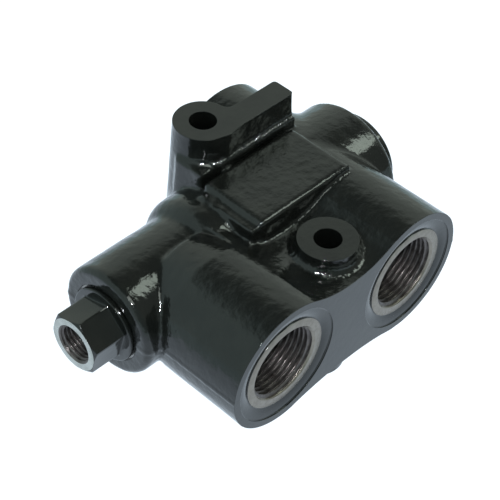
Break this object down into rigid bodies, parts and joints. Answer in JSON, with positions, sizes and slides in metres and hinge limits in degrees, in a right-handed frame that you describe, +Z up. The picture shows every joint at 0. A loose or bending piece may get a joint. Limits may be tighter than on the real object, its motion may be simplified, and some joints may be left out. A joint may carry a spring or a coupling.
{
  "type": "hydraulic monoblock valve",
  "caption": "Cast monoblock hydraulic priority valve with two threaded front ports, one rear port, a load-sensing hexagon adapter and an inner sliding spool.",
  "frame": {"origin": "centre of the bounding box in plan, on the plane of the two bolt feet", "axes": "+X along the spool from the load-sensing adapter to the end plug, -Y out of the two front ports, +Z up along the bolt holes"},
  "size_m": [0.13, 0.087, 0.0668],
  "materials": {
    "black_paint": "gloss black paint over fine sand-cast iron",
    "bare_steel": "machined bare steel",
    "ground_steel": "ground and honed hardened steel",
    "spring_steel": "drawn oiled spring steel",
    "brass": "turned brass",
    "nitrile_rubber": "matt moulded nitrile rubber",
    "ptfe": "off-white PTFE"
  },
  "bodies": {
    "housing": {"valve_body": "black_paint", "ls_port_adapter": "black_paint", "end_plug": "black_paint", "ls_adapter_o_ring": "nitrile_rubber", "end_plug_o_ring": "nitrile_rubber", "ls_adapter_backup_ring": "ptfe", "end_plug_backup_ring": "ptfe", "ls_inlet_jet": "brass", "ls_filter_screen": "brass", "ls_filter_retaining_ring": "spring_steel", "control_spring": "spring_steel", "spring_seat": "bare_steel", "preload_shim_thick": "bare_steel", "preload_shim_thin": "bare_steel", "spool_stop_washer": "bare_steel"},
    "spool": {"priority_spool": "ground_steel", "ls_bleed_jet": "brass", "pilot_damping_jet": "brass", "pilot_filter_screen": "brass", "spool_spring_seat": "bare_steel"}
  },
  "joints": [
    {"name": "spool_slide", "type": "slide", "parent": "housing", "child": "spool", "axis": [-1, 0, 0], "range_m": [0, 0.009], "stiffness_N_per_m": 8000, "springref_m": -0.008, "deforming": ["control_spring"]}
  ]
}
